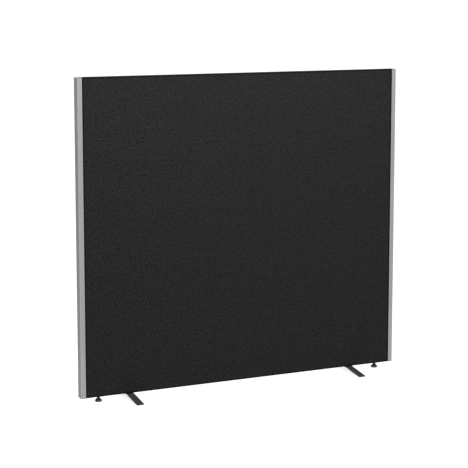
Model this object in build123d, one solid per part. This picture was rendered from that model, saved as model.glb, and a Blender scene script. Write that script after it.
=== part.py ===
from build123d import *
import os
from math import atan2, cos, pi, sin, sqrt, tan

# A free-standing fabric screen: a tenoned timber frame between two boards, padded and covered
# with fabric, with snap-on aluminium edge trims, two swivelling foot bars and two levelling glides.
# Lengths are in millimetres. X runs along the screen, Y through it and Z up. The origin is on the
# floor under the middle of the panel, and the side that faces the viewer looks along -Y.

# Whole screen
overall_width = 1800.0
panel_height = 1600.0
floor_gap = 28.0
cut_overrun = 5.0

# Timber frame
frame_thickness = 32.0
stile_width = 45.0
top_rail_width = 45.0
bottom_rail_width = 70.0
mid_rail_width = 45.0
muntin_width = 45.0
tenon_length = 18.0
tenon_thickness = 10.0
tenon_shoulder = 10.0
glue_clearance = 0.1

# Boards, padding and fabric, from the frame outwards
board_thickness = 3.2
padding_thickness = 3.0
cover_thickness = 1.0
cover_edge_radius = 3.0
cover_slot_clearance = 0.7
spline_groove_width = 6.0
spline_groove_depth = 8.0
spline_recess = 0.5
spline_edge_radius = 1.2

# Aluminium edge trim, an extrusion that snaps over a carrier rail
trim_flange = 26.0
trim_wall = 1.8
trim_bulge = 2.0
trim_corner_radius = 2.6
trim_tip_radius = 0.6
trim_cavity = 12.0
trim_fabric_lap = 12.0
trim_leg_spacing = 16.0
trim_leg_wall = 1.4
trim_leg_end_room = 1.2
barb_height = 0.9
barb_length = 1.8
barb_clearance = 0.3

# Carrier rail and its screws
carrier_base_width = 32.0
carrier_base_wall = 1.8
carrier_leg_wall = 1.4
carrier_leg_top_room = 2.6
carrier_end_gap = 22.0
carrier_screw_count = 5
carrier_screw_margin = 110.0
screw_head_width = 7.0
screw_head_height = 2.8
screw_shank_radius = 2.0
screw_length = 24.0
screw_point_length = 5.0
screw_clearance = 0.05

# Plugs that close the ends of the trims
cap_thickness = 2.0
cap_clearance = 0.15
cap_boss_depth = 14.0
cap_boss_wall = 1.6
cap_boss_gap = 1.2

# M8 hardware shared by the glides and the foot bars
bolt_radius = 4.0
thread_clearance = 0.05
insert_radius = 6.0
insert_length = 20.0
stem_hole_clearance = 0.5
hex_width = 13.0

# Levelling glides
glide_inset = 100.0
pad_radius = 17.5
pad_foot_radius = 16.0
pad_foot_chamfer = 1.5
pad_rim_height = 7.2
pad_rim_radius = 1.5
pad_neck_radius = 8.2
pad_height = 17.3
pad_bore_clearance = 0.4
ball_radius = 5.5
ball_centre_height = 8.2
ball_clearance = 0.3
stem_waist_radius = 3.6
stem_reach = 46.0
stem_point_chamfer = 1.2
stem_lift_room = 2.4
lock_nut_height = 4.0
lock_nut_chamfer = 0.6
collar_clearance = 0.3

# Foot bars
foot_inset = 265.0
foot_bar_width = 38.0
foot_bar_thickness = 5.0
foot_bar_length = 318.0
foot_flat_length = 34.0
foot_bend_radius = 8.0
foot_toe_flat = 5.0
foot_corner_radius = 2.5
foot_edge_radius = 0.5
foot_hole_clearance = 0.2
foot_play = 0.2
spacer_radius = 15.0
spacer_height = 3.0
washer_radius = 8.5
washer_height = 1.6
bolt_head_radius = 7.0
bolt_head_height = 4.4
bolt_socket_width = 5.0
bolt_socket_depth = 2.5
bolt_reach = 18.0

# Staples that hold the covers under the bottom rail
staple_crown = 11.0
staple_leg = 9.0
staple_wire = 1.0
staple_count = 12
staple_margin = 60.0

# Heights and half widths that follow from the sizes above
panel_bottom = floor_gap
panel_top = floor_gap + panel_height
frame_bottom = panel_bottom + cover_thickness
frame_top = panel_top - cover_thickness
frame_half = frame_thickness / 2
board_half = frame_half + board_thickness
padding_half = board_half + padding_thickness
cover_half = padding_half + cover_thickness
trim_half = cover_half + trim_wall
trim_end_radius = (trim_half**2 + trim_bulge**2) / (2 * trim_bulge)
end_x = overall_width / 2
panel_half_width = end_x - trim_cavity
cover_half_width = end_x - trim_flange + trim_fabric_lap
rail_half_width = panel_half_width - stile_width
top_rail_bottom = frame_top - top_rail_width
bottom_rail_top = frame_bottom + bottom_rail_width
mid_rail_centre = (top_rail_bottom + bottom_rail_top) / 2
insert_top = frame_bottom + insert_length
glide_x = end_x - glide_inset
foot_x = end_x - foot_inset
hex_corner_radius = hex_width / sqrt(3)
cover_slot_half = hex_corner_radius + cover_slot_clearance
lock_nut_bottom = frame_bottom - lock_nut_height
spacer_bottom = panel_bottom - spacer_height
bar_top = spacer_bottom - foot_play
bar_bottom = bar_top - foot_bar_thickness
washer_bottom = bar_bottom - foot_play - washer_height


def block(x_range, y_range, z_range):
    """A rectangular solid between the given pairs of limits."""
    size = [high - low for low, high in (x_range, y_range, z_range)]
    middle = [(high + low) / 2 for low, high in (x_range, y_range, z_range)]
    return Pos(*middle) * Box(*size)


def upright(radius, low, high):
    """A round bar on the Z axis between two heights."""
    return Pos(0, 0, (low + high) / 2) * Cylinder(radius, high - low)


def hexagon_bar(corner_radius, low, high):
    """A hexagonal bar on the Z axis between two heights."""
    return Pos(0, 0, low) * extrude(RegularPolygon(corner_radius, 6), amount=high - low)


def turned(points):
    """A solid of revolution about the Z axis, from (radius, height) points of its half section."""
    return revolve(make_face(Plane.XZ * Polyline(*points, close=True)), axis=Axis.Z)


def along_screen(section, half_length):
    """A prism along X, centred on the screen, from a face drawn in (Y, Z)."""
    return extrude(Plane.YZ * section, amount=half_length, both=True)


def left_copy(part):
    """The mirror image of a right-hand part on the left end of the screen."""
    return mirror(part, about=Plane.YZ)


# Timber frame

def tenon(shoulder_x, side, z_range, clearance):
    """A rail's tenon, or its mortise: side is the way it points from the shoulder at shoulder_x."""
    tip = shoulder_x + side * (tenon_length + clearance)
    root = shoulder_x - side * clearance
    half = tenon_thickness / 2 + clearance
    low, high = z_range
    heights = (low + tenon_shoulder - clearance, high - tenon_shoulder + clearance)
    return block(sorted((root, tip)), (-half, half), heights)


def rail_tenons(z_range, clearance):
    """Tenons at both ends of a rail that runs from stile to stile."""
    return (tenon(rail_half_width, 1, z_range, clearance)
            + tenon(-rail_half_width, -1, z_range, clearance))


def muntin_tenons(clearance):
    """Tenons at the top and bottom of the muntin."""
    half = tenon_thickness / 2 + clearance
    across = muntin_width / 2 - tenon_shoulder + clearance
    low = bottom_rail_top - tenon_length - clearance
    high = top_rail_bottom + tenon_length + clearance
    return (block((-across, across), (-half, half), (low, bottom_rail_top + clearance))
            + block((-across, across), (-half, half), (top_rail_bottom - clearance, high)))


def carrier_screw_heights():
    """Heights of the screws along each stile."""
    low = panel_bottom + carrier_screw_margin
    high = panel_top - carrier_screw_margin
    step = (high - low) / (carrier_screw_count - 1)
    return [low + index * step for index in range(carrier_screw_count)]


def bottom_holes():
    """Holes for the threaded inserts under the bottom rail, with room for each screw above."""
    shaft_top = frame_bottom + stem_reach + stem_lift_room + cut_overrun
    hole = upright(insert_radius + glue_clearance, frame_bottom - cut_overrun, insert_top)
    hole += upright(bolt_radius + stem_hole_clearance, insert_top - cut_overrun, shaft_top)
    return [Pos(x, 0, 0) * hole for x in (-glide_x, -foot_x, foot_x, glide_x)]


def timber(x_range, z_range):
    """One member of the frame, before its joints are cut."""
    return block(x_range, (-frame_half, frame_half), z_range)


def build_frame(nodes):
    """Stiles, rails and muntin, joined by stub tenons."""
    rail_span = (-rail_half_width, rail_half_width)
    top_span = (top_rail_bottom, frame_top)
    bottom_span = (frame_bottom, bottom_rail_top)
    mid_span = (mid_rail_centre - mid_rail_width / 2, mid_rail_centre + mid_rail_width / 2)
    groove = block((-end_x, end_x), (-spline_groove_width / 2, spline_groove_width / 2),
                   (panel_top - spline_groove_depth, panel_top + cut_overrun))

    top_rail = timber(rail_span, top_span) - groove + rail_tenons(top_span, 0)
    bottom_rail = timber(rail_span, bottom_span) + rail_tenons(bottom_span, 0)
    for hole in bottom_holes():
        bottom_rail -= hole
    nodes["top_rail"] = top_rail - muntin_tenons(glue_clearance)
    nodes["bottom_rail"] = bottom_rail - muntin_tenons(glue_clearance)

    mid_rail = timber((muntin_width / 2, rail_half_width), mid_span)
    mid_rail += tenon(rail_half_width, 1, mid_span, 0) + tenon(muntin_width / 2, -1, mid_span, 0)
    nodes["right_mid_rail"] = mid_rail
    nodes["left_mid_rail"] = left_copy(mid_rail)

    muntin = timber((-muntin_width / 2, muntin_width / 2), (bottom_rail_top, top_rail_bottom))
    muntin += muntin_tenons(0)
    for side in (-1, 1):
        muntin -= tenon(side * muntin_width / 2, -side, mid_span, glue_clearance)
    nodes["centre_muntin"] = muntin

    stile = timber((rail_half_width, panel_half_width), (frame_bottom, frame_top)) - groove
    for span in (bottom_span, mid_span, top_span):
        stile -= tenon(rail_half_width, 1, span, glue_clearance)
    for height in carrier_screw_heights():
        stile -= pilot_hole(height)
    nodes["right_stile"] = stile
    nodes["left_stile"] = left_copy(stile)


# Boards, padding and covers

def build_skins(nodes):
    """The facing boards, the felt padding, the fabric covers, and the spline and staples that hold them."""
    height = (frame_bottom, frame_top)
    width = (-panel_half_width, panel_half_width)
    padding = block(width, (-padding_half, -board_half), height)
    padding_edges = padding.edges().filter_by(Axis.X).sort_by(Axis.Y)[:2]
    front = {
        "board": block(width, (-board_half, -frame_half), height),
        "padding": fillet(padding_edges, cover_edge_radius - cover_thickness),
        "cover": front_cover(),
    }
    for name, skin in front.items():
        nodes[f"front_{name}"] = skin
        nodes[f"rear_{name}"] = mirror(skin, about=Plane.XZ)
    nodes["top_spline"] = top_spline()
    nodes["cover_staples"] = cover_staples()


def front_cover():
    """Fabric down the front, tucked into the top groove and turned in under the bottom rail."""
    groove_half = spline_groove_width / 2
    groove_floor = panel_top - spline_groove_depth
    outline = [
        (-groove_half + cover_thickness, groove_floor),
        (-groove_half + cover_thickness, panel_top),
        (-cover_half, panel_top),
        (-cover_half, panel_bottom),
        (-cover_slot_half, panel_bottom),
        (-cover_slot_half, frame_bottom),
        (-padding_half, frame_bottom),
        (-padding_half, frame_top),
        (-groove_half, frame_top),
        (-groove_half, groove_floor),
    ]
    section = make_face(Polyline(*outline, close=True))
    outer = [vertex for vertex in section.vertices() if abs(vertex.X + cover_half) < cover_thickness / 2]
    section = fillet(outer, cover_edge_radius)
    inner_limit = cover_half - cover_thickness / 2
    inner = [vertex for vertex in section.vertices()
             if padding_half - cover_thickness / 2 < -vertex.X < inner_limit]
    section = fillet(inner, cover_edge_radius - cover_thickness)
    return along_screen(section, cover_half_width)


def top_spline():
    """Soft bead that wedges both covers into the groove along the top edge."""
    half = spline_groove_width / 2 - cover_thickness
    bead = block((-cover_half_width, cover_half_width), (-half, half),
                 (panel_top - spline_groove_depth, panel_top - spline_recess))
    top_edges = bead.edges().filter_by(Axis.X).sort_by(Axis.Z)[-2:]
    return fillet(top_edges, spline_edge_radius)


def staple():
    """One wire staple, its crown along X under the turned-in cover and its legs up in the rail."""
    half = staple_crown / 2
    crown_bottom = panel_bottom - staple_wire
    leg_top = crown_bottom + staple_leg
    wire = (-staple_wire / 2, staple_wire / 2)
    outside = block((-half, half), wire, (crown_bottom, leg_top))
    inside = block((staple_wire - half, half - staple_wire), wire, (panel_bottom, leg_top + cut_overrun))
    return outside - inside


def cover_staples():
    """A row of staples in each turned-in edge, left out where a foot's spacer sits."""
    row = (frame_half + cover_slot_half) / 2
    reach = cover_half_width - staple_margin
    step = 2 * reach / (staple_count - 1)
    keep_off = spacer_radius + staple_crown
    placed = []
    for index in range(staple_count):
        x = index * step - reach
        if abs(abs(x) - foot_x) > keep_off:
            placed += [Pos(x, -row, 0) * staple(), Pos(x, row, 0) * staple()]
    return Compound(children=placed)


# Edge trims, in a section where X is the depth in from the crown of the end face

def trim_outline(inset, depth):
    """The trim's outline with its bulged end, drawn in from the outer surface by an inset."""
    half = trim_half - inset
    radius = trim_end_radius - inset
    shoulder = trim_end_radius - sqrt(radius**2 - half**2)
    end_arc = ThreePointArc((shoulder, -half), (inset, 0), (shoulder, half))
    sides = Polyline((shoulder, half), (depth, half), (depth, -half), (shoulder, -half))
    outline = make_face(end_arc + sides)
    corners = outline.vertices().sort_by(Axis.X)[:2]
    return fillet(corners, trim_corner_radius - inset)


def both_sides(points):
    """A closed shape on one side of the section's centre line and its mirror image."""
    upper = make_face(Polyline(*points, close=True))
    lower = make_face(Polyline(*[(x, -y) for x, y in points], close=True))
    return upper + lower


def trim_legs(clearance):
    """The pair of barbed legs inside the trim, or the slots that clear them."""
    inner = trim_leg_spacing / 2 - clearance
    outer = trim_leg_spacing / 2 + trim_leg_wall + clearance
    tip = trim_cavity - carrier_base_wall - trim_leg_end_room
    catch = tip - barb_length - clearance
    return both_sides([
        (trim_wall / 2, inner),
        (tip + clearance, inner),
        (tip + clearance, outer),
        (catch, outer + barb_height),
        (catch, outer),
        (trim_wall / 2, outer),
    ])


def trim_section():
    """The extruded section: bulged end wall, two flanges and two barbed legs."""
    hollow = trim_outline(trim_wall, trim_flange + cut_overrun)
    shell = trim_outline(0, trim_flange) - hollow
    tips = [vertex for vertex in shell.vertices() if abs(vertex.X - trim_flange) < trim_wall / 2]
    return fillet(tips, trim_tip_radius) + trim_legs(0)


def carrier_section():
    """The rail that the trim snaps onto: a flat base with two hooked legs."""
    base_face = trim_cavity - carrier_base_wall
    half = carrier_base_width / 2
    base = both_sides([(base_face, 0), (trim_cavity, 0), (trim_cavity, half), (base_face, half)])
    trim_leg_face = trim_leg_spacing / 2 + trim_leg_wall
    inner = trim_leg_face + barb_height + barb_clearance
    outer = inner + carrier_leg_wall
    hook_face = inner - barb_height
    tip = trim_wall + carrier_leg_top_room
    hook_catch = base_face - trim_leg_end_room - barb_length - barb_clearance
    legs = both_sides([
        (base_face, outer),
        (tip, outer),
        (tip, inner),
        (hook_catch, hook_face),
        (hook_catch, inner),
        (base_face, inner),
    ])
    return base + legs


def stand_at_end(section, low, high):
    """A section stood up along the right-hand end of the screen between two heights."""
    prism = extrude(section, amount=high - low)
    return Pos(end_x, 0, low) * Rotation(0, 0, 180) * prism


def trim_cap():
    """Plug at a trim's upper end: a flush plate, slotted round the legs, with two hollow bosses."""
    inset = trim_wall + cap_clearance
    depth = trim_cavity - cap_clearance
    plate = trim_outline(inset, depth) - trim_legs(cap_clearance)
    plate_bottom = panel_top - cap_thickness
    boss_inner = trim_leg_spacing / 2 + trim_leg_wall + barb_height + cap_boss_gap
    boss_outer = trim_half - inset - cap_boss_wall
    boss_near = trim_bulge + trim_wall + cap_boss_gap
    boss_far = depth - cap_boss_wall
    rim = [(boss_near, boss_inner), (boss_far, boss_inner), (boss_far, boss_outer), (boss_near, boss_outer)]
    core = [
        (boss_near + cap_boss_wall, boss_inner + cap_boss_wall),
        (boss_far - cap_boss_wall, boss_inner + cap_boss_wall),
        (boss_far - cap_boss_wall, boss_outer - cap_boss_wall),
        (boss_near + cap_boss_wall, boss_outer - cap_boss_wall),
    ]
    bosses = both_sides(rim) - both_sides(core)
    cap = stand_at_end(plate, plate_bottom, panel_top)
    return cap + stand_at_end(bosses, plate_bottom - cap_boss_depth, plate_bottom)


def across_end(shape, height):
    """A shape drawn on the Z axis, laid along X with its zero on the carrier's screw seat."""
    return Pos(end_x - trim_cavity + carrier_base_wall, 0, height) * Rotation(0, 90, 0) * shape


def carrier_screw(height):
    """A hexagon-head wood screw through the carrier's base into the stile."""
    shank = turned([
        (0, 0),
        (screw_shank_radius, 0),
        (screw_shank_radius, screw_point_length - screw_length),
        (0, -screw_length),
    ])
    head = hexagon_bar(screw_head_width / sqrt(3), 0, screw_head_height)
    return across_end(head + shank, height)


def pilot_hole(height):
    """The hole for a carrier screw, through the base and into the stile."""
    return across_end(upright(screw_shank_radius + screw_clearance, -screw_length, cut_overrun), height)


def build_trims(nodes):
    """Both edge trims with their carrier rails, screws and end plugs."""
    heights = carrier_screw_heights()
    carrier = stand_at_end(carrier_section(), panel_bottom + carrier_end_gap, panel_top - carrier_end_gap)
    for height in heights:
        carrier -= pilot_hole(height)
    top_cap = trim_cap()
    middle = Plane.XY.offset((panel_bottom + panel_top) / 2)
    right = {
        "trim": stand_at_end(trim_section(), panel_bottom, panel_top),
        "trim_carrier": carrier,
        "trim_top_cap": top_cap,
        "trim_bottom_cap": mirror(top_cap, about=middle),
    }
    for name, piece in right.items():
        nodes[f"right_{name}"] = piece
        nodes[f"left_{name}"] = left_copy(piece)
    screws = [carrier_screw(height) for height in heights]
    nodes["right_carrier_screws"] = Compound(children=screws)
    nodes["left_carrier_screws"] = Compound(children=[left_copy(screw) for screw in screws])


# Glides and foot bars, drawn on the Z axis and then moved to their places

def threaded_insert():
    """Threaded insert pressed up into the bottom rail."""
    body = upright(insert_radius, frame_bottom, insert_top)
    bore = upright(bolt_radius + thread_clearance, frame_bottom - cut_overrun, insert_top + cut_overrun)
    return body - bore


def lock_nut():
    """Thin hexagon nut that jams against the insert."""
    nut = hexagon_bar(hex_corner_radius, lock_nut_bottom, frame_bottom)
    corner = hex_corner_radius - lock_nut_chamfer
    cone = turned([
        (0, lock_nut_bottom),
        (corner, lock_nut_bottom),
        (corner + lock_nut_height, frame_bottom),
        (0, frame_bottom),
    ])
    bore_radius = bolt_radius + thread_clearance
    bore = upright(bore_radius, lock_nut_bottom - cut_overrun, frame_bottom + cut_overrun)
    return (nut & cone) - bore


def glide_stem():
    """Screwed stem: ball foot, waist, hexagon collar for a spanner, and the long thread."""
    collar_low = pad_height + collar_clearance
    collar_high = lock_nut_bottom - stem_lift_room
    top = frame_bottom + stem_reach
    stem = Pos(0, 0, ball_centre_height) * Sphere(ball_radius)
    stem += upright(stem_waist_radius, ball_centre_height, collar_low)
    stem += hexagon_bar(hex_corner_radius, collar_low, collar_high)
    thread = upright(bolt_radius, collar_high, top)
    end_edge = thread.edges().filter_by(GeomType.CIRCLE).sort_by(Axis.Z)[-1]
    return stem + chamfer(end_edge, stem_point_chamfer)


def glide_pad():
    """Round moulded pad: upright rim, conical shoulder and the socket that holds the ball."""
    profile = [
        (0, 0),
        (pad_foot_radius, 0),
        (pad_radius, pad_foot_chamfer),
        (pad_radius, pad_rim_height),
        (pad_neck_radius, pad_height),
        (0, pad_height),
    ]
    pad = turned(profile)
    rim = pad.edges().filter_by(GeomType.CIRCLE).group_by(Axis.Z)[2]
    pad = fillet(rim, pad_rim_radius)
    pad -= Pos(0, 0, ball_centre_height) * Sphere(ball_radius + ball_clearance)
    mouth = upright(stem_waist_radius + pad_bore_clearance, ball_centre_height, pad_height + cut_overrun)
    return pad - mouth


def foot_bar():
    """Flat steel bar bent down to the floor on both sides of a level middle."""
    tip = foot_bar_length / 2
    flat = foot_flat_length / 2
    toe = tip - foot_toe_flat
    slope = atan2(bar_bottom, toe - flat)
    rise = foot_bar_thickness / cos(slope)
    shoulder = flat + foot_bar_thickness * tan(slope / 2)
    tip_top = rise - foot_toe_flat * tan(slope)
    half = [(flat, bar_bottom), (toe, 0), (tip, 0), (tip, tip_top), (shoulder, bar_top)]
    other = [(-y, z) for y, z in reversed(half)]
    section = make_face(Polyline(*half, *other, close=True))
    bar = along_screen(section, foot_bar_width / 2)
    cross = bar.edges().filter_by(Axis.X)
    inner = [edge for edge in cross if abs(abs(edge.center().Y) - flat) < foot_edge_radius
             and edge.center().Z < bar_top - foot_edge_radius]
    bar = fillet(inner, foot_bend_radius)
    cross = bar.edges().filter_by(Axis.X)
    outer = [edge for edge in cross if abs(edge.center().Z - bar_top) < foot_edge_radius
             and abs(edge.center().Y) > flat - foot_edge_radius]
    bar = fillet(outer, foot_bend_radius + foot_bar_thickness)
    corners = [edge for edge in bar.edges().filter_by(Axis.Z) if abs(edge.center().Y) > toe]
    bar = fillet(corners, foot_corner_radius)
    hole = upright(bolt_radius + foot_hole_clearance, bar_bottom - cut_overrun, bar_top + cut_overrun)
    return bar - hole


def foot_bolt():
    """Button-head bolt with a hexagon socket, screwed up into its insert."""
    head_low = washer_bottom - bolt_head_height
    dome = turned([
        (0, head_low),
        (bolt_head_radius * sin(pi / 6), head_low),
        (bolt_head_radius * cos(pi / 6), head_low + bolt_head_height * (1 - cos(pi / 3))),
        (bolt_head_radius, washer_bottom),
        (0, washer_bottom),
    ])
    socket = hexagon_bar(bolt_socket_width / sqrt(3), head_low - cut_overrun, head_low + bolt_socket_depth)
    return dome - socket + upright(bolt_radius, washer_bottom, frame_bottom + bolt_reach)


def ring(outer, inner, low, high):
    """A washer or spacer between two heights."""
    return upright(outer, low, high) - upright(inner, low - cut_overrun, high + cut_overrun)


def build_standing_gear(nodes):
    """The glides and foot bars under both ends of the bottom rail."""
    clear_radius = bolt_radius + foot_hole_clearance
    glide = {
        "glide_insert": threaded_insert(),
        "glide_lock_nut": lock_nut(),
        "glide_stem": glide_stem(),
        "glide_pad": glide_pad(),
    }
    foot = {
        "foot_insert": threaded_insert(),
        "foot_spacer": ring(spacer_radius, clear_radius, spacer_bottom, panel_bottom),
        "foot_bar": foot_bar(),
        "foot_washer": ring(washer_radius, clear_radius, washer_bottom, bar_bottom - foot_play),
        "foot_bolt": foot_bolt(),
    }
    for side, sign in (("left", -1), ("right", 1)):
        for name, piece in glide.items():
            nodes[f"{side}_{name}"] = Pos(sign * glide_x, 0, 0) * piece
        for name, piece in foot.items():
            nodes[f"{side}_{name}"] = Pos(sign * foot_x, 0, 0) * piece


def main():
    """Build every piece and write one file for each."""
    nodes = {}
    build_frame(nodes)
    build_skins(nodes)
    build_trims(nodes)
    build_standing_gear(nodes)
    os.makedirs("parts", exist_ok=True)
    for name, piece in nodes.items():
        export_step(piece, f"parts/{name}.step")
    print(len(nodes), "pieces written")


main()
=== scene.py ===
import math

import bmesh
import bpy
from mathutils import Matrix, Vector, noise


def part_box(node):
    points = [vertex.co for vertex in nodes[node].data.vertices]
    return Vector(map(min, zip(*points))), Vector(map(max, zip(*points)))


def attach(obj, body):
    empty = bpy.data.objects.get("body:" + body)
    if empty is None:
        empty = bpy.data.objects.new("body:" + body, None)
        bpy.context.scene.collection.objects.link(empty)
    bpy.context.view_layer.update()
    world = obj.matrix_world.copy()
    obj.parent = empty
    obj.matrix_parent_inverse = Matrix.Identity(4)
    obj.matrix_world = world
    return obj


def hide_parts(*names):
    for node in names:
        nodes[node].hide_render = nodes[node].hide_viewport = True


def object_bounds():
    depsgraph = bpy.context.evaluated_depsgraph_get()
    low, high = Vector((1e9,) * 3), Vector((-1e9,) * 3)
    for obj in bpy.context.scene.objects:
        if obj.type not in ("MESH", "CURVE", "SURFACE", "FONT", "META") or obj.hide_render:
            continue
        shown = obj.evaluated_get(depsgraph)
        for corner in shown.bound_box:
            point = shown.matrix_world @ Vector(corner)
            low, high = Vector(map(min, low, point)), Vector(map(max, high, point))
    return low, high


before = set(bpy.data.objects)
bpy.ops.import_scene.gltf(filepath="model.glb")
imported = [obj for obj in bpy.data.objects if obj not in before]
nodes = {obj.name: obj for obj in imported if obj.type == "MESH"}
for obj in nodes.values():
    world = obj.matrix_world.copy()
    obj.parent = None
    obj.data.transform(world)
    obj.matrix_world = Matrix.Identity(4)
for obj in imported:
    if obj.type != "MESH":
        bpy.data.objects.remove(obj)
cad_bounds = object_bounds()

# Lengths are in metres. MM turns millimetres into metres.
MM = 0.001
SIDES = ("left", "right")

# Camera, fitted to the photograph: pixels, millimetres, metres and degrees
IMAGE_SIDE = 468
FOCAL_PIXELS = 1496.7
SENSOR_WIDTH = 36.0
CAMERA_PLACE = (-3.3021, -6.8989, 2.0694)
CAMERA_YAW = 25.258
CAMERA_PITCH = 7.677
CAMERA_SHIFT = -0.10
FAR_CLIP = 600.0

# Studio: the surroundings' strength on the left, on the right and at the horizon
WORLD_LEFT = 0.46
WORLD_RIGHT = 1.0
HORIZON_GLOW = 1.05
HORIZON_FADE = 0.1

# Studio: a light table for a floor, and a long soft light in front of the screen and behind it
FLOOR_REACH = 300.0
FLOOR_TONE = 0.5
FLOOR_GLOW = 0.735
STRIP_PLACE = (-0.25, 1.2, 2.5)
STRIP_AIM = (-0.25, 0.0, 1.3)
STRIP_SIZE = (3.0, 0.8)
STRIP_POWER = 36.5

# Sizes that the covers and the trims share with the CAD
CLOTH_THICKNESS = 0.9 * MM
COVER_EDGE_RADIUS = 3.0 * MM
TUCK_RADIUS = 1.2 * MM
HEM_EDGE = 8.206 * MM
SPLINE_DEPTH = 8.0 * MM
TRIM_REACH = 26.0 * MM

# The cloth's slight swell over the felt, which rises from the trims and from the folds
FACE_CROWN = 0.8 * MM
FACE_RIPPLE = 0.35 * MM
RIPPLES_ACROSS = 3.1
RIPPLES_UP = 2.3
SIDE_RISE = (0.0, 60.0 * MM)
FOLD_RISE = (4.0 * MM, 50.0 * MM)

# The hand-cut edge of the hem
HEM_WANDER = 1.6 * MM
HEM_WAVES = 17.0

# Staples that draw the covers in under the bottom rail
STAPLE_COUNT = 12
STAPLE_MARGIN = 60.0 * MM
STAPLE_PULL = 0.12 * MM
STAPLE_SPREAD = 70.0 / 3 * MM
STAPLE_HEIGHT = 70.0 * MM
SPACER_KEEP_OFF = 26.0 * MM

# Divisions of a cover's mesh
COVER_COLUMNS = 118
FACE_ROWS = 76
FOLD_ROWS = 5
FLAT_ROWS = 3
TUCK_ROWS = 3
DROP_ROWS = 2
ON_FACE = 0.1 * MM

# Weave: the yarns' pitch, how far a yarn strays, and how long it keeps one tone
YARN_PITCH = 1.3 * MM
YARN_WANDER = 0.7 * MM
WANDER_SCALE = 160.0
FLECK_LENGTH = 9.0 * MM
NEXT_YARN = 17.3
HAIR_SCALE = 900.0
HAIR_STRETCH = 5.0
FIBRE_SCALE = 2600.0
WEAVE_HEIGHT = 0.28 * MM
FIBRE_HEIGHT = 0.05 * MM

# Melange: where a yarn's tone turns from dark to light and to a fleck, and what adds to that tone
LIGHT_YARN = (0.44, 0.54)
FLECKED_YARN = (0.60, 0.66)
FLECK_SHARE = 0.8
MOTTLE_SCALE = 125.0
MOTTLE_SHARE = 0.6
HAIR_SHARE = 0.45
CLOUD_SCALE = 4.0
CLOUD_SHARE = 0.10

# Painted shade between the yarns: how high in the weave it ends, and how dark it is
GAP_SHADE_HEIGHT = (0.1, 0.8)
GAP_SHADE_SHARE = 0.85

# Painted shade in the creases: full this near to a trim or fold, and gone this far from it
CREASE_CORE = 5.5 * MM
CREASE = 11.0 * MM
CREASE_SHADE_SHARE = 0.82
FOLD_MARGIN = 0.5 * MM

# Trims: where the outermost face gets painted shade, and where the corners and the lips' edges get a
# painted highlight
END_FACE_SHADE = (2.8 * MM, 1.0 * MM)
CORNER_DEPTH = (2.6 * MM, 1.2 * MM)
CORNER_WIDTH = (5.0 * MM, 3.2 * MM)
LIP_EDGE = (0.6 * MM, 1.6 * MM)

# Foot bars: where the wear at the toes begins and where it is full, from the screen's middle plane
TOE_WEAR = (110.0 * MM, 159.0 * MM)

# Wood is blacked this near to the covers' ends
BLACKED = (1.0 * MM, 0.5 * MM)

# Felt padding
FELT_EDGE_RADIUS = 2.0 * MM
FELT_HOLLOW = 0.25 * MM
FELT_LUMPS = 22.0
FELT_COLUMNS = 60
FELT_FACE_ROWS = 60
FELT_BACK_ROWS = 6
FELT_EDGE_ROWS = 4

# Glide stems, with a right-hand M8 thread
COLUMNS = 24
THREAD_PITCH = 1.25 * MM
THREAD_RADIUS = 4.0 * MM
THREAD_DEPTH = 0.72 * MM
WAIST_RADIUS = 3.6 * MM
BALL_RADIUS = 5.5 * MM
BALL_HEIGHT = 8.2 * MM
BALL_LOWEST = -80.0
BALL_ROWS = 9
COLLAR_LOW = 17.6 * MM
COLLAR_HIGH = 22.6 * MM
COLLAR_WIDTH = 13.0 * MM
COLLAR_CHAMFER = 0.8 * MM
CHAMFER_STEPS = (0.0, 0.25 * MM, 0.5 * MM)
STEM_TOP = 75.0 * MM
STEM_POINT = 1.2 * MM
WELD = 0.002 * MM

# A thread's profile: how far along the pitch, and how far out from the root (0) to the crest (1)
THREAD_PROFILE = ((0.0, 0), (0.125, 0), (0.44, 1), (0.685, 1))

# The middle part of a noise's range, where most of its values are
MIDDLE = (0.3, 0.7)


# Materials

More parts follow.
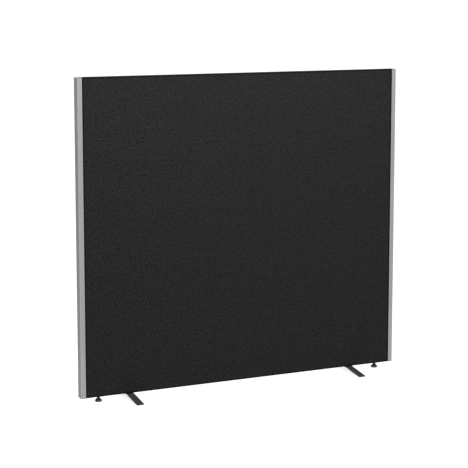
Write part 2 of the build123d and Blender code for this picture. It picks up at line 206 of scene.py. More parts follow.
class Recipe:
    """A material under construction.

    Most methods add one node and give back its output. The last four set how the surface looks.
    """

    def __init__(self, name, roughness, metallic=0.0, specular=0.5):
        self.material = bpy.data.materials.new(name)
        self.material.use_nodes = True
        self.tree = self.material.node_tree
        self.shader = self.tree.nodes["Principled BSDF"]
        self.shader.inputs["Roughness"].default_value = roughness
        self.shader.inputs["Metallic"].default_value = metallic
        self.shader.inputs["Specular IOR Level"].default_value = specular
        self.place = self.add("ShaderNodeTexCoord").outputs["Object"]

    def add(self, kind, **settings):
        """A new node with these settings."""
        node = self.tree.nodes.new(kind)
        for name, value in settings.items():
            setattr(node, name, value)
        return node

    def feed(self, socket, value):
        """A value or another node's output into a socket."""
        if isinstance(value, bpy.types.NodeSocket):
            self.tree.links.new(value, socket)
        else:
            socket.default_value = value

    def maths(self, operation, *values):
        """One step of arithmetic."""
        node = self.add("ShaderNodeMath", operation=operation)
        for socket, value in zip(node.inputs, values):
            self.feed(socket, value)
        return node.outputs[0]

    def size(self, value):
        """A value without its sign."""
        return self.maths("ABSOLUTE", value)

    def parts(self, vector):
        """A vector's x, y and z."""
        node = self.add("ShaderNodeSeparateXYZ")
        self.feed(node.inputs[0], vector)
        return tuple(node.outputs)

    def vector(self, x, y, z):
        """One vector of three values."""
        node = self.add("ShaderNodeCombineXYZ")
        for socket, value in zip(node.inputs, (x, y, z)):
            self.feed(socket, value)
        return node.outputs[0]

    def stretched(self, vector, x=1.0, y=1.0, z=1.0):
        """The vector by a factor for each axis. A small factor draws a pattern out along that axis."""
        node = self.add("ShaderNodeVectorMath", operation="MULTIPLY")
        self.feed(node.inputs[0], vector)
        node.inputs[1].default_value = (x, y, z)
        return node.outputs[0]

    def noise(self, vector, scale, detail=2.0, roughness=0.5):
        """Smooth noise around 0.5."""
        node = self.add("ShaderNodeTexNoise")
        self.feed(node.inputs["Vector"], vector)
        node.inputs["Scale"].default_value = scale
        node.inputs["Detail"].default_value = detail
        node.inputs["Roughness"].default_value = roughness
        return node.outputs["Fac"]

    def cells(self, vector, scale):
        """The distance to the nearest of many scattered points."""
        node = self.add("ShaderNodeTexVoronoi", feature="F1")
        self.feed(node.inputs["Vector"], vector)
        node.inputs["Scale"].default_value = scale
        return node.outputs["Distance"]

    def between(self, value, low, high, out_low=0.0, out_high=1.0):
        """Maps value from low..high to out_low..out_high, smoothly and with both ends clamped."""
        node = self.add("ShaderNodeMapRange", interpolation_type="SMOOTHSTEP")
        for socket, number in zip(node.inputs, (value, low, high, out_low, out_high)):
            self.feed(socket, number)
        return node.outputs[0]

    def near(self, value, edge, gaps, out_low=0.0, out_high=1.0):
        """As between, from the first to the second of two gaps short of an edge."""
        return self.between(value, edge - gaps[0], edge - gaps[1], out_low, out_high)

    def mix(self, share, first, second):
        """The first value where share is 0 and the second where it is 1."""
        node = self.add("ShaderNodeMix", data_type="RGBA")
        sockets = (node.inputs[0], node.inputs[6], node.inputs[7])
        for socket, value in zip(sockets, (share, first, second)):
            self.feed(socket, value)
        return node.outputs[2]

    def colour(self, value):
        self.feed(self.shader.inputs["Base Color"], value)

    def roughness(self, value):
        self.feed(self.shader.inputs["Roughness"], value)

    def relief(self, *layers):
        """Bumps the surface by layers of (height from 0 to 1, depth in metres)."""
        normal = None
        for height, depth in layers:
            bump = self.add("ShaderNodeBump")
            bump.inputs["Distance"].default_value = depth
            self.feed(bump.inputs["Height"], height)
            if normal is not None:
                self.feed(bump.inputs["Normal"], normal)
            normal = bump.outputs["Normal"]
        self.feed(self.shader.inputs["Normal"], normal)

    def sheen(self, weight, roughness):
        self.shader.inputs["Sheen Weight"].default_value = weight
        self.shader.inputs["Sheen Roughness"].default_value = roughness


def grey(level, warmth=0.0):
    """A nearly neutral colour. Warmth above 0 tends to red and below 0 to blue."""
    return (level * (1 + warmth), level, level * (1 - warmth), 1.0)


def cover_extent():
    """The covers' lowest and highest place, and how far their faces are from the screen's middle plane."""
    low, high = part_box("front_cover")
    return low.z, high.z, max(abs(low.y), abs(high.y))


def lip_place():
    """How far the edges of the trims' lips are from the screen's middle."""
    return cad_bounds[1].x - TRIM_REACH


def cloth_places(recipe):
    """Coordinates that run across and along a cover and carry on over its folded edges."""
    across, through, up = recipe.parts(recipe.place)
    bottom, _, face = cover_extent()
    above_fold = recipe.maths("GREATER_THAN", up, bottom + COVER_EDGE_RADIUS + FOLD_MARGIN)
    # Where the cloth turns inwards, along goes on up over the top fold and on down under the bottom fold.
    way = recipe.maths("MULTIPLY_ADD", above_fold, -2.0, 1.0)
    out = recipe.maths("SUBTRACT", recipe.size(through), face)
    along = recipe.maths("MULTIPLY_ADD", way, out, recipe.maths("SUBTRACT", up, face))
    return across, along


def edge_shade(recipe, across, along):
    """Painted shade in the crease beside each trim, and where the cloth turns at the top and the bottom."""
    bottom, top, face = cover_extent()
    shade = recipe.near(recipe.size(across), lip_place(), (CREASE, CREASE_CORE), 0.0, CREASE_SHADE_SHARE)
    for fold in (bottom - face, top - face):
        gap = recipe.size(recipe.maths("SUBTRACT", along, fold))
        fold_shade = recipe.between(gap, CREASE_CORE, CREASE, CREASE_SHADE_SHARE, 0.0)
        shade = recipe.maths("MAXIMUM", shade, fold_shade)
    return shade


def yarn_count(recipe, axis, places):
    """Yarns counted along an axis. Each yarn strays a little from its straight line."""
    stray = recipe.noise(places, WANDER_SCALE)
    return recipe.maths("DIVIDE", recipe.maths("MULTIPLY_ADD", stray, YARN_WANDER, axis), YARN_PITCH)


def yarn_back(recipe, count):
    """A yarn's rounded back: 1 along its middle and 0 between two yarns."""
    return recipe.size(recipe.maths("SINE", recipe.maths("MULTIPLY", count, math.pi)))


def yarn_top(recipe, yarn, crossing):
    """A yarn's height where it lies on top, half as high between the yarns that cross it."""
    return recipe.maths("MULTIPLY", yarn, recipe.maths("MULTIPLY_ADD", crossing, 0.5, 0.5))


def yarn_tones(recipe, across, along, warp_index, weft_index):
    """The tone of each warp and weft yarn, which changes along it. The third coordinate sets them apart."""
    across_flecks = recipe.maths("DIVIDE", across, FLECK_LENGTH)
    along_flecks = recipe.maths("DIVIDE", along, FLECK_LENGTH)
    warp_row = recipe.maths("MULTIPLY", warp_index, NEXT_YARN)
    weft_row = recipe.maths("MULTIPLY", weft_index, NEXT_YARN)
    warp = recipe.noise(recipe.vector(warp_row, along_flecks, 0.0), scale=1.0, detail=1.0)
    weft = recipe.noise(recipe.vector(across_flecks, weft_row, 7.0), scale=1.0, detail=1.0)
    return warp, weft


def yarn_hairs(recipe, across, along):
    """Fine fibres that run along each warp and weft yarn."""
    fine_across = recipe.maths("MULTIPLY", across, HAIR_STRETCH)
    fine_along = recipe.maths("MULTIPLY", along, HAIR_STRETCH)
    warp = recipe.noise(recipe.vector(fine_across, along, 0.0), HAIR_SCALE, detail=1.0)
    weft = recipe.noise(recipe.vector(across, fine_along, 5.0), HAIR_SCALE, detail=1.0)
    return warp, weft


def screen_fabric():
    """Charcoal plain-weave screen cloth. Each yarn is a melange, dark and light by turns along it."""
    recipe = Recipe("screen_fabric", roughness=0.92, specular=0.06)
    painted_shade_tone, dark, light = grey(0.004), grey(0.0080), grey(0.0280)
    fleck, haze = grey(0.043), grey(0.016)
    across, along = cloth_places(recipe)
    place = recipe.vector(across, along, 0.0)

    warp_count = yarn_count(recipe, across, place)
    weft_count = yarn_count(recipe, along, recipe.vector(along, across, 3.0))
    warp, weft = yarn_back(recipe, warp_count), yarn_back(recipe, weft_count)
    warp_index, weft_index = recipe.maths("FLOOR", warp_count), recipe.maths("FLOOR", weft_count)
    # 0 where the warp yarn is on top and 1 where the weft yarn is
    over = recipe.maths("PINGPONG", recipe.maths("ADD", warp_index, weft_index), 1.0)
    weave = recipe.mix(over, yarn_top(recipe, warp, weft), yarn_top(recipe, weft, warp))

    mottle = recipe.maths("SUBTRACT", recipe.noise(place, MOTTLE_SCALE, roughness=0.6), 0.5)
    hair = recipe.maths("SUBTRACT", recipe.mix(over, *yarn_hairs(recipe, across, along)), 0.5)
    yarn = recipe.mix(over, *yarn_tones(recipe, across, along, warp_index, weft_index))
    yarn = recipe.maths("MULTIPLY_ADD", mottle, MOTTLE_SHARE, yarn)
    yarn = recipe.maths("MULTIPLY_ADD", hair, HAIR_SHARE, yarn)

    clouds = recipe.noise(place, CLOUD_SCALE, detail=3.0)
    tone = recipe.mix(recipe.between(yarn, *LIGHT_YARN), dark, light)
    tone = recipe.mix(recipe.between(yarn, *FLECKED_YARN, 0.0, FLECK_SHARE), tone, fleck)
    tone = recipe.mix(recipe.between(clouds, *MIDDLE, 0.0, CLOUD_SHARE), tone, haze)
    # Painted shade in the creases beside the trims and along the folds.
    tone = recipe.mix(edge_shade(recipe, across, along), tone, painted_shade_tone)
    # Painted shade in the gaps between the yarns, where the weave is low.
    tone = recipe.mix(recipe.between(weave, *GAP_SHADE_HEIGHT, GAP_SHADE_SHARE, 0.0), tone, painted_shade_tone)
    recipe.colour(tone)

    fibres = recipe.noise(recipe.stretched(place, y=0.4), FIBRE_SCALE, detail=1.0)
    recipe.relief((weave, WEAVE_HEIGHT), (fibres, FIBRE_HEIGHT))
    recipe.sheen(0.06, 0.45)
    return recipe.material


def trim_painted_highlight(recipe, across, through, smears):
    """Where a trim gets a painted highlight: along its corners and along the edges of its lips, in patches.
    """
    end = cad_bounds[1].x
    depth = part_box("left_trim")[1].y
    corner = recipe.maths("MULTIPLY", recipe.near(through, depth, CORNER_DEPTH),
                          recipe.near(across, end, CORNER_WIDTH))
    lip = recipe.between(across, lip_place() + LIP_EDGE[0], lip_place() + LIP_EDGE[1], 1.0, 0.0)
    patchy = recipe.between(smears, 0.2, 0.6, 0.5, 1.0)
    return recipe.maths("MULTIPLY", recipe.maths("MAXIMUM", corner, lip), patchy)


def trim_aluminium():
    """Silver satin finish: draw lines, grit and smears, with painted shade on the outermost face and a
    painted highlight along the corners.
    """
    recipe = Recipe("trim_aluminium", roughness=0.42, metallic=0.75)
    recipe.shader.inputs["Specular Tint"].default_value = grey(0.5)
    across, through, _ = recipe.parts(recipe.place)
    across, through = recipe.size(across), recipe.size(through)
    draw = recipe.noise(recipe.stretched(recipe.place, z=0.004), scale=900.0, detail=3.0)
    grit = recipe.noise(recipe.place, scale=2400.0, detail=1.0)
    smears = recipe.noise(recipe.stretched(recipe.place, z=0.25), scale=18.0, detail=3.0)
    lines = recipe.between(draw, *MIDDLE)
    satin = recipe.mix(lines, grey(0.30, -0.004), grey(0.33, -0.004))
    satin = recipe.mix(recipe.between(smears, 0.35, 0.7, 0.0, 0.3), satin, grey(0.275, 0.004))
    # Painted shade: the outermost face is darker than the trim's front.
    dull_and_shade = recipe.mix(lines, grey(0.225), grey(0.25))
    satin = recipe.mix(recipe.near(across, cad_bounds[1].x, END_FACE_SHADE), satin, dull_and_shade)
    # Painted highlight along the corners and the lips' edges.
    recipe.colour(recipe.mix(trim_painted_highlight(recipe, across, through, smears), satin, grey(0.42)))
    recipe.roughness(recipe.between(smears, *MIDDLE, 0.38, 0.48))
    recipe.relief((draw, 0.015 * MM), (grit, 0.012 * MM))
    return recipe.material


def mill_aluminium():
    """Bare extruded aluminium of the hidden carrier rails, with die lines and handling marks."""
    recipe = Recipe("mill_aluminium", roughness=0.35, metallic=1.0)
    draw = recipe.noise(recipe.stretched(recipe.place, z=0.003), scale=1400.0, detail=4.0)
    dull_and_shade = recipe.noise(recipe.place, scale=26.0, detail=4.0)
    recipe.colour(recipe.mix(recipe.between(draw, *MIDDLE), grey(0.52), grey(0.68)))
    recipe.roughness(recipe.between(dull_and_shade, *MIDDLE, 0.28, 0.46))
    recipe.relief((draw, 0.05 * MM))
    return recipe.material


def cap_plastic():
    """Grey moulded plastic with a fine spark-eroded grain and slight cloudiness."""
    recipe = Recipe("cap_plastic", roughness=0.55)
    grain = recipe.cells(recipe.place, scale=1500.0)
    clouds = recipe.noise(recipe.place, scale=60.0, detail=3.0)
    recipe.colour(recipe.mix(recipe.between(clouds, *MIDDLE), grey(0.27), grey(0.31)))
    recipe.roughness(recipe.between(grain, 0.1, 0.7, 0.5, 0.62))
    recipe.relief((grain, 0.04 * MM))
    return recipe.material


def powder_coat():
    """Black textured powder coat of the foot bars, dusty in places and scuffed at the toes."""
    recipe = Recipe("powder_coat", roughness=0.5, specular=0.45)
    _, through, _ = recipe.parts(recipe.place)
    peel = recipe.noise(recipe.place, scale=900.0, detail=3.0, roughness=0.6)
    scuffs = recipe.noise(recipe.stretched(recipe.place, y=0.18), scale=320.0, detail=4.0, roughness=0.7)
    dust = recipe.noise(recipe.place, scale=45.0, detail=4.0)
    tone = recipe.mix(recipe.between(dust, 0.35, 0.75, 0.0, 0.6), grey(0.043), grey(0.053, 0.02))
    toe = recipe.between(recipe.size(through), *TOE_WEAR, 0.0, 0.55)
    worn = recipe.maths("MULTIPLY", recipe.between(scuffs, 0.56, 0.7), toe)
    recipe.colour(recipe.mix(worn, tone, grey(0.075)))
    recipe.roughness(recipe.between(peel, *MIDDLE, 0.42, 0.6))
    recipe.relief((peel, 0.09 * MM), (scuffs, 0.02 * MM))
    return recipe.material


def black_steel():
    """Black-zinc hardware: a dark satin skin, a little brighter where tools have touched it."""
    recipe = Recipe("black_steel", roughness=0.4, metallic=0.85)
    wear = recipe.noise(recipe.place, scale=480.0, detail=4.0, roughness=0.65)
    pits = recipe.noise(recipe.place, scale=1900.0)
    recipe.colour(recipe.mix(recipe.between(wear, 0.55, 0.75), grey(0.035, -0.02), grey(0.12, 0.01)))
    recipe.roughness(recipe.between(wear, 0.3, 0.75, 0.48, 0.3))
    recipe.relief((pits, 0.02 * MM))
    return recipe.material


def zinc_steel():
    """Bright zinc plate with a faint blue-to-straw passivation and fine scratches."""
    recipe = Recipe("zinc_steel", roughness=0.3, metallic=1.0)
    tint = recipe.noise(recipe.place, scale=140.0)
    scratches = recipe.noise(recipe.stretched(recipe.place, y=0.1), scale=1600.0)
    blue, straw = (0.58, 0.61, 0.66, 1.0), (0.67, 0.64, 0.54, 1.0)
    recipe.colour(recipe.mix(recipe.between(tint, 0.35, 0.65), blue, straw))
    recipe.roughness(recipe.between(scratches, *MIDDLE, 0.24, 0.4))
    recipe.relief((scratches, 0.02 * MM))
    return recipe.material


def black_plastic():
    """Black moulded nylon with a fine matt grain and a trace of dust on it."""
    recipe = Recipe("black_plastic", roughness=0.42)
    grain = recipe.cells(recipe.place, scale=1300.0)
    dust = recipe.noise(recipe.place, scale=150.0, detail=4.0, roughness=0.7)
    recipe.colour(recipe.mix(recipe.between(dust, 0.5, 0.75, 0.0, 0.7), grey(0.021), grey(0.04, 0.03)))
    recipe.roughness(recipe.between(dust, 0.35, 0.7, 0.36, 0.55))
    recipe.relief((grain, 0.05 * MM))
    return recipe.material


def spline_rubber():
    """Soft black rubber bead, finely ribbed along its length."""
    recipe = Recipe("spline_rubber", roughness=0.7, specular=0.35)
    rib_pitch = 0.8 * MM
    _, through, _ = recipe.parts(recipe.place)
    ribs = recipe.size(recipe.maths("SINE", recipe.maths("MULTIPLY", through, math.pi / rib_pitch)))
    bloom = recipe.noise(recipe.place, scale=90.0, detail=4.0)
    recipe.colour(recipe.mix(recipe.between(bloom, 0.4, 0.7), grey(0.014), grey(0.026, 0.02)))
    recipe.relief((ribs, 0.2 * MM), (bloom, 0.03 * MM))
    return recipe.material


def felt():
    """Grey needle-punched felt: matted fibres in many greys, with a soft fuzzy surface."""
    recipe = Recipe("felt", roughness=0.95, specular=0.1)
    upright = recipe.noise(recipe.stretched(recipe.place, z=0.25), scale=900.0, detail=4.0, roughness=0.7)
    level = recipe.noise(recipe.stretched(recipe.place, x=0.25), scale=900.0, detail=4.0, roughness=0.7)
    fibres = recipe.maths("MAXIMUM", upright, level)
    holes = recipe.cells(recipe.place, scale=330.0)
    tone = recipe.mix(recipe.between(fibres, 0.4, 0.7), grey(0.11, 0.03), grey(0.3, 0.01))
    # Painted shade in the needle holes, darkest at their middles.
    recipe.colour(recipe.mix(recipe.between(holes, 0.0, 0.22, 0.6, 0.0), tone, grey(0.05)))
    recipe.relief((fibres, 0.4 * MM), (holes, 0.3 * MM))
    recipe.sheen(0.3, 0.6)
    return recipe.material


def with_blacked_ends(recipe, tone):
    """Wood's tone, black past the covers' ends so that it doesn't show beside the trims."""
    across, _, _ = recipe.parts(recipe.place)
    black = recipe.near(recipe.size(across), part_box("front_cover")[1].x, BLACKED)
    return recipe.mix(black, tone, grey(0.01))


def hardboard():
    """Brown pressed fibreboard with dark and light fibre bundles."""
    recipe = Recipe("hardboard", roughness=0.62)
    dark, light, speck = (0.11, 0.058, 0.03, 1.0), (0.27, 0.155, 0.082, 1.0), (0.05, 0.026, 0.014, 1.0)
    place = recipe.stretched(recipe.place, x=0.5, z=1.4)
    fibres = recipe.noise(place, scale=520.0, detail=5.0, roughness=0.7)
    specks = recipe.cells(recipe.place, scale=420.0)
    tone = recipe.mix(recipe.between(fibres, *MIDDLE), dark, light)
    tone = recipe.mix(recipe.between(specks, 0.0, 0.18, 0.5, 0.0), tone, speck)
    recipe.colour(with_blacked_ends(recipe, tone))
    recipe.roughness(recipe.between(fibres, *MIDDLE, 0.5, 0.72))
    recipe.relief((fibres, 0.1 * MM))
    return recipe.material


def timber(name, along):
    """Planed softwood with its grain along one axis: growth rings, rays and darker resin streaks."""
    recipe = Recipe(name, roughness=0.6)
    early, late = (0.62, 0.42, 0.22, 1.0), (0.40, 0.23, 0.10, 1.0)
    pale, resin = (0.55, 0.40, 0.24, 1.0), (0.26, 0.14, 0.06, 1.0)
    place = recipe.stretched(recipe.place, **{along: 0.03})
    wander = recipe.noise(place, scale=14.0, detail=3.0)
    pores = recipe.noise(recipe.stretched(recipe.place, **{along: 0.02}), scale=1500.0)
    rings = recipe.add("ShaderNodeTexWave", wave_type="RINGS", rings_direction=along.upper())
    recipe.feed(rings.inputs["Vector"], place)
    rings.inputs["Scale"].default_value = 34.0
    rings.inputs["Distortion"].default_value = 7.0
    rings.inputs["Detail"].default_value = 3.0
    rings.inputs["Detail Scale"].default_value = 1.2
    ring = rings.outputs["Fac"]
    tone = recipe.mix(ring, early, late)
    tone = recipe.mix(recipe.between(wander, 0.4, 0.7, 0.0, 0.5), tone, pale)
    tone = recipe.mix(recipe.between(pores, 0.55, 0.75, 0.0, 0.4), tone, resin)
    recipe.colour(with_blacked_ends(recipe, tone))
    recipe.roughness(recipe.between(pores, *MIDDLE, 0.52, 0.7))
    recipe.relief((ring, 0.08 * MM), (pores, 0.05 * MM))
    return recipe.material


def paint(material, *names):
    """Gives a material to CAD nodes that stay as they are."""
    for name in names:
        for slot in nodes[name].material_slots:
            slot.material = material


def both(*names):
    """The left and right node of each name."""
    return [f"{side}_{name}" for name in names for side in SIDES]


def paint_cad(steel):
    """Finishes for every CAD node that stays in view or inside the panel."""
    paint(timber("rail_timber", "x"), "top_rail", "bottom_rail", *both("mid_rail"))
    paint(timber("stile_timber", "z"), "centre_muntin", *both("stile"))
    paint(hardboard(), "front_board", "rear_board")
    paint(spline_rubber(), "top_spline")
    paint(trim_aluminium(), *both("trim"))
    paint(mill_aluminium(), *both("trim_carrier"))
    paint(cap_plastic(), *both("trim_top_cap", "trim_bottom_cap"))
    paint(zinc_steel(), "cover_staples", *both("carrier_screws", "glide_insert", "foot_insert"))
    paint(powder_coat(), *both("foot_bar"))
    paint(steel, *both("foot_washer", "foot_bolt", "glide_lock_nut"))
    paint(black_plastic(), *both("glide_pad", "foot_spacer"))


# Meshes

def new_piece(name, bm, material, smooth=True):
    """A mesh object from a bmesh, in the frame's coordinates."""
    mesh = bpy.data.meshes.new(name)
    bmesh.ops.recalc_face_normals(bm, faces=bm.faces)
    bm.to_mesh(mesh)
    bm.free()
    mesh.materials.append(material)
    for face in mesh.polygons:
        face.use_smooth = smooth
    piece = bpy.data.objects.new(name, mesh)
    bpy.context.scene.collection.objects.link(piece)
    return piece


def grid_of(bm, rows, closed=False):
    """Quads between rows of points. A closed grid joins each row's last point to its first."""
    lines = [[bm.verts.new(point) for point in row] for row in rows]
    for lower, upper in zip(lines, lines[1:]):
        count = len(lower)
        for i in range(count if closed else count - 1):
            bm.faces.new((lower[i], lower[(i + 1) % count], upper[(i + 1) % count], upper[i]))
    return lines


def spaced(low, high, count):
    """Evenly spaced values from low to high, both included, with count steps between them."""
    return [low + (high - low) * i / count for i in range(count + 1)]


def eased(low, high, count):
    """Values from low to high that crowd towards both ends."""
    return [low + (high - low) * (1 - math.cos(math.pi * i / count)) / 2 for i in range(count + 1)]


def arc(centre, radius, start, end, count):
    """Points on a circle in the (depth, height) plane, between two angles in degrees."""
    angles = [math.radians(angle) for angle in spaced(start, end, count)]
    return [(centre[0] + radius * math.cos(a), centre[1] + radius * math.sin(a)) for a in angles]


def smooth_step(value, low, high):
    """0 up to low and 1 from high on, with a smooth rise between them."""
    share = min(1.0, max(0.0, (value - low) / (high - low)))
    return share * share * (3 - 2 * share)


def depths(name):
    """How far a node's inner and outer sides are from the screen's middle plane."""
    low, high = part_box(name)
    return sorted((abs(low.y), abs(high.y)))


# Fabric covers

def cover_line(inner, face, bottom, top):
    """The cover's outside from its hem to the groove, as (depth outwards from the middle, height)."""
    radius = COVER_EDGE_RADIUS
    flat = face - radius
    ledge_end = inner + TUCK_RADIUS
    turn_low = top - TUCK_RADIUS
    runs = (
        [(depth, bottom) for depth in spaced(HEM_EDGE, flat, FLAT_ROWS)],
        arc((flat, bottom + radius), radius, -90, 0, FOLD_ROWS),
        [(face, height) for height in eased(bottom + radius, top - radius, FACE_ROWS)],
        arc((flat, top - radius), radius, 0, 90, FOLD_ROWS),
        [(depth, top) for depth in spaced(flat, ledge_end, FLAT_ROWS)],
        arc((ledge_end, turn_low), TUCK_RADIUS, 90, 180, TUCK_ROWS),
        [(inner, height) for height in spaced(turn_low, top - SPLINE_DEPTH, DROP_ROWS)],
    )
    line = list(runs[0])
    for run in runs[1:]:
        line += run[1:]
    return line


def staple_places():
    """Where along the screen the staples pull, apart from the places over the foot spacers."""
    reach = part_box("front_cover")[1].x - STAPLE_MARGIN
    foot_low, foot_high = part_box("right_foot_bolt")
    foot = (foot_low.x + foot_high.x) / 2
    places = spaced(-reach, reach, STAPLE_COUNT - 1)
    return [x for x in places if abs(abs(x) - foot) > SPACER_KEEP_OFF]


def staple_draw(x, depth, height, bottom, face, places):
    """How far the nearest staple pulls the cloth inwards here, in metres."""
    nearest = min(abs(x - place) for place in places)
    pull = STAPLE_PULL * math.exp(-(nearest / STAPLE_SPREAD) ** 2)
    fade = math.exp(-max(0.0, height - bottom) / STAPLE_HEIGHT)
    return pull * fade * smooth_step(depth, HEM_EDGE, face)


def waves(x, y, z):
    """Smooth random waves around 0, in three sizes, each half as long and half as high as the last."""
    return noise.fractal(Vector((x, y, z)), 1.0, 2.0, 3)


def face_swell(x, height, bottom, top, seed):
    """How far the cloth stands out from the flat face, in metres."""
    rise = smooth_step(lip_place() - abs(x), *SIDE_RISE)
    rise *= smooth_step(height - bottom, *FOLD_RISE) * smooth_step(top - height, *FOLD_RISE)
    ripple = waves(x * RIPPLES_ACROSS, height * RIPPLES_UP, seed)
    return max(0.0, (FACE_CROWN + FACE_RIPPLE * ripple) * rise)


def hem_wander(x, depth, height, bottom, face, seed):
    """How far the hem's hand-cut edge strays outwards here, fading to nothing at the fold."""
    if height > bottom:
        return 0.0
    stray = abs(waves(x * HEM_WAVES, seed, 2.0))
    return min(HEM_WANDER, stray * HEM_WANDER) * (face - depth) / (face - HEM_EDGE)


def outward(cover, sign):
    """Whether the face normals of a one-layer cover look away from the panel."""
    largest = max(cover.data.polygons, key=lambda face: face.area)
    return largest.normal.y * sign > 0


def make_cover(name, sign, material, seed):
    """A fabric cover as a stretched sheet: hem, lower fold, face, upper fold and the tuck in the groove."""
    low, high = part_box(name)
    inner, face = depths(name)
    bottom, top = low.z, high.z
    line = cover_line(inner, face, bottom, top)
    places = staple_places()
    columns = spaced(low.x, high.x, COVER_COLUMNS)
    rows = []
    for depth, height in line:
        row = []
        for x in columns:
            out = depth - staple_draw(x, depth, height, bottom, face, places)
            out += hem_wander(x, depth, height, bottom, face, seed)
            if depth > face - ON_FACE:
                out += face_swell(x, height, bottom, top, seed)
            row.append((x, sign * out, height))
        rows.append(row)
    bm = bmesh.new()
    grid_of(bm, rows)
    cover = new_piece(f"{name}_cloth", bm, material)
    solid = cover.modifiers.new("cloth thickness", "SOLIDIFY")
    solid.thickness = CLOTH_THICKNESS
    solid.offset = -1.0 if outward(cover, sign) else 1.0
    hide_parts(name)
    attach(cover, "panel")


# Felt padding

def make_felt(name, sign, material, seed):
    """A felt layer: a closed slab with rounded outer edges and a slightly uneven outer face."""
    low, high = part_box(name)
    inner, outer = depths(name)
    radius = FELT_EDGE_RADIUS
    line = [(inner, low.z)]
    line += arc((outer - radius, low.z + radius), radius, -90, 0, FELT_EDGE_ROWS)
    line += [(outer, height) for height in spaced(low.z + radius, high.z - radius, FELT_FACE_ROWS)][1:]
    line += arc((outer - radius, high.z - radius), radius, 0, 90, FELT_EDGE_ROWS)[1:]
    line += [(inner, high.z)]
    line += [(inner, height) for height in spaced(high.z, low.z, FELT_BACK_ROWS)][1:-1]
    rows = []
    for x in spaced(low.x, high.x, FELT_COLUMNS):
        row = []
        for depth, height in line:
            if depth > outer - ON_FACE:
                lump = Vector((x * FELT_LUMPS, height * FELT_LUMPS, seed))
                depth -= FELT_HOLLOW * abs(noise.noise(lump))
            row.append((x, sign * depth, height))
        rows.append(row)
    bm = bmesh.new()
    lines = grid_of(bm, rows, closed=True)
    bm.faces.new(lines[0])
    bm.faces.new(lines[-1])
    pad = new_piece(f"{name}_felt", bm, material, smooth=False)
    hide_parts(name)
    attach(pad, "panel")


# Glide stems

def hexagon_radius(angle, width):
    """Distance from the middle to the side of a hexagon with that width across its flats."""
    turn = (angle + math.pi / 6) % (math.pi / 3) - math.pi / 6
    return width / 2 / math.cos(turn)


def column_angle(i):
    """The angle of one of a turned piece's columns."""
    return 2 * math.pi * i / COLUMNS


def ring_of(radii, height):
    """One ring of a turned piece. radii is a number or a function of the angle."""
    points = []
    for i in range(COLUMNS):
        angle = column_angle(i)
        radius = radii(angle) if callable(radii) else radii
        points.append((radius * math.cos(angle), radius * math.sin(angle), height))
    return points


def chamfered(drop):
    """The collar's hexagon as its chamfer cone cuts it, a drop in from the collar's end."""
    cone = COLLAR_WIDTH / math.sqrt(3) - COLLAR_CHAMFER + drop * math.sqrt(3)
    return lambda angle: min(hexagon_radius(angle, COLLAR_WIDTH), cone)


def stem_body():
    """Rings of the stem's ball, waist and hexagon collar, from the bottom up."""
    waist_meets_ball = math.acos(WAIST_RADIUS / BALL_RADIUS)
    rings = [ring_of(BALL_RADIUS * math.cos(a), BALL_HEIGHT + BALL_RADIUS * math.sin(a))
             for a in spaced(math.radians(BALL_LOWEST), waist_meets_ball, BALL_ROWS)]
    rings.append(ring_of(WAIST_RADIUS, COLLAR_LOW))
    rings += [ring_of(chamfered(step), COLLAR_LOW + step) for step in CHAMFER_STEPS]
    rings += [ring_of(chamfered(step), COLLAR_HIGH - step) for step in reversed(CHAMFER_STEPS)]
    rings.append(ring_of(THREAD_RADIUS - THREAD_DEPTH, COLLAR_HIGH))
    return rings


def thread_rows():
    """Rows of a right-hand helical thread that runs out at the collar and at the stem's point."""
    root = THREAD_RADIUS - THREAD_DEPTH
    turns = math.ceil((STEM_TOP - COLLAR_HIGH) / THREAD_PITCH) + 1
    rows = []
    for turn in range(-1, turns):
        for share, crest in THREAD_PROFILE:
            radius = root + crest * THREAD_DEPTH
            row = []
            for i in range(COLUMNS):
                height = COLLAR_HIGH + THREAD_PITCH * (turn + share + i / COLUMNS)
                height = min(STEM_TOP, max(COLLAR_HIGH, height))
                run_out = min(root + height - COLLAR_HIGH, THREAD_RADIUS - STEM_POINT + STEM_TOP - height)
                size = min(radius, run_out)
                angle = column_angle(i)
                row.append((size * math.cos(angle), size * math.sin(angle), height))
            rows.append(row)
    return rows


def helical_grid(bm, rows, step):
    """Quads between rows of a helix, whose seam joins each row to the one a pitch further on."""
    lines = [[bm.verts.new(point) for point in row] for row in rows]
    last = COLUMNS - 1
    for j in range(len(lines) - 1):
        for i in range(last):
            bm.faces.new((lines[j][i], lines[j][i + 1], lines[j + 1][i + 1], lines[j + 1][i]))
        if j + 1 + step < len(lines):
            bm.faces.new((lines[j][last], lines[j + step][0], lines[j + 1 + step][0], lines[j + 1][last]))


def make_stem(side, material):
    """A glide stem with its real thread, which stays in step with the nut as the stem turns."""
    bm = bmesh.new()
    body = grid_of(bm, stem_body(), closed=True)
    bm.faces.new(body[0])
    helical_grid(bm, thread_rows(), len(THREAD_PROFILE))
    bmesh.ops.remove_doubles(bm, verts=bm.verts, dist=WELD)
    bmesh.ops.dissolve_degenerate(bm, edges=bm.edges, dist=WELD)
    holes = [edge for edge in bm.edges if edge.is_boundary]
    bmesh.ops.holes_fill(bm, edges=holes, sides=COLUMNS * 2)
    low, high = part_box(f"{side}_glide_pad")
    bmesh.ops.translate(bm, verts=bm.verts, vec=((low.x + high.x) / 2, 0, 0))
    stem = new_piece(f"{side}_threaded_stem", bm, material, smooth=False)
    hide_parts(f"{side}_glide_stem")
    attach(stem, f"{side}_screw")


# Studio

def make_floor():
    """A plain pale floor that glows a little, as a light table does, so that shadows on it stay faint."""
    recipe = Recipe("studio_floor", roughness=0.8, specular=0.2)
    recipe.shader.inputs["Base Color"].default_value = grey(FLOOR_TONE)
    recipe.shader.inputs["Emission Color"].default_value = grey(1.0)
    recipe.shader.inputs["Emission Strength"].default_value = FLOOR_GLOW
    bm = bmesh.new()
    bmesh.ops.create_grid(bm, x_segments=1, y_segments=1, size=FLOOR_REACH)
    floor = new_piece("studio_floor", bm, recipe.material, smooth=False)


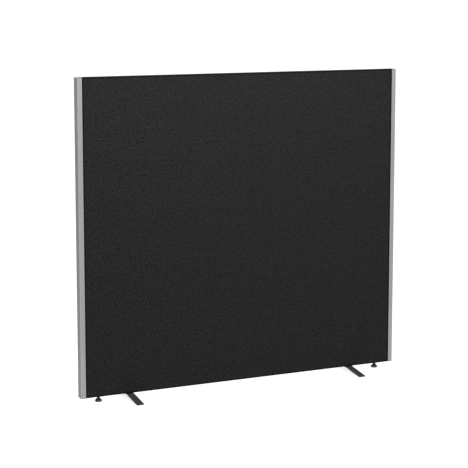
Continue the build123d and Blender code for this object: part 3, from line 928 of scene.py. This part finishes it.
def make_world():
    """White studio surroundings: dimmer on the left than on the right, and bright at the horizon."""
    world = bpy.data.worlds.new("studio")
    world.use_nodes = True
    tree = world.node_tree
    background = tree.nodes["Background"]
    background.inputs["Color"].default_value = grey(1.0)
    direction = tree.nodes.new("ShaderNodeTexCoord").outputs["Generated"]
    axes = tree.nodes.new("ShaderNodeSeparateXYZ")
    tree.links.new(direction, axes.inputs[0])

    def ranged(axis, **values):
        """A Map Range node over one axis, with some of its inputs set."""
        node = tree.nodes.new("ShaderNodeMapRange")
        tree.links.new(axes.outputs[axis], node.inputs["Value"])
        for name, value in values.items():
            node.inputs[name.replace("_", " ").title()].default_value = value
        return node

    sideways = ranged("X", from_min=-1.0, from_max=1.0, to_min=WORLD_LEFT, to_max=WORLD_RIGHT)
    upwards = ranged("Z", from_min=0.0, from_max=HORIZON_FADE, to_min=HORIZON_GLOW)
    upwards.interpolation_type = "SMOOTHSTEP"
    tree.links.new(sideways.outputs[0], upwards.inputs["To Max"])
    tree.links.new(upwards.outputs[0], background.inputs["Strength"])
    bpy.context.scene.world = world


def strip_light(name, sign):
    """A long soft light above the top edge, on one side of the screen, which fades down the fabric."""
    light = bpy.data.lights.new(name, "AREA")
    light.shape = "RECTANGLE"
    light.size, light.size_y = STRIP_SIZE
    light.energy = STRIP_POWER
    lamp = bpy.data.objects.new(name, light)
    lamp.location = Vector(STRIP_PLACE) * Vector((1, sign, 1))
    lamp.rotation_mode = "QUATERNION"
    lamp.rotation_quaternion = (Vector(STRIP_AIM) - lamp.location).to_track_quat("-Z", "Y")
    bpy.context.scene.collection.objects.link(lamp)


def make_camera():
    """The photograph's viewpoint."""
    data = bpy.data.cameras.new("camera")
    data.sensor_width = SENSOR_WIDTH
    data.lens = SENSOR_WIDTH * FOCAL_PIXELS / IMAGE_SIDE
    data.shift_y = CAMERA_SHIFT
    data.clip_end = FAR_CLIP
    yaw, pitch = math.radians(CAMERA_YAW), math.radians(CAMERA_PITCH)
    turn = Matrix.Rotation(-yaw, 3, "Z") @ Matrix.Rotation(math.pi / 2 - pitch, 3, "X")
    camera = bpy.data.objects.new("camera", data)
    camera.matrix_world = Matrix.Translation(CAMERA_PLACE) @ turn.to_4x4()
    bpy.context.scene.collection.objects.link(camera)
    bpy.context.scene.camera = camera


def make_screen():
    """The CAD nodes' finishes, and the pieces that replace the covers, the padding and the stems."""
    steel, fabric, padding = black_steel(), screen_fabric(), felt()
    paint_cad(steel)
    for face, sign, seed in (("front", -1, 1.7), ("rear", 1, 8.3)):
        make_cover(f"{face}_cover", sign, fabric, seed)
        make_felt(f"{face}_padding", sign, padding, seed)
    for side in SIDES:
        make_stem(side, steel)


bpy.context.scene.view_settings.view_transform = "Standard"
make_camera()
make_world()
make_floor()
strip_light("front_strip", -1)
strip_light("rear_strip", 1)
make_screen()
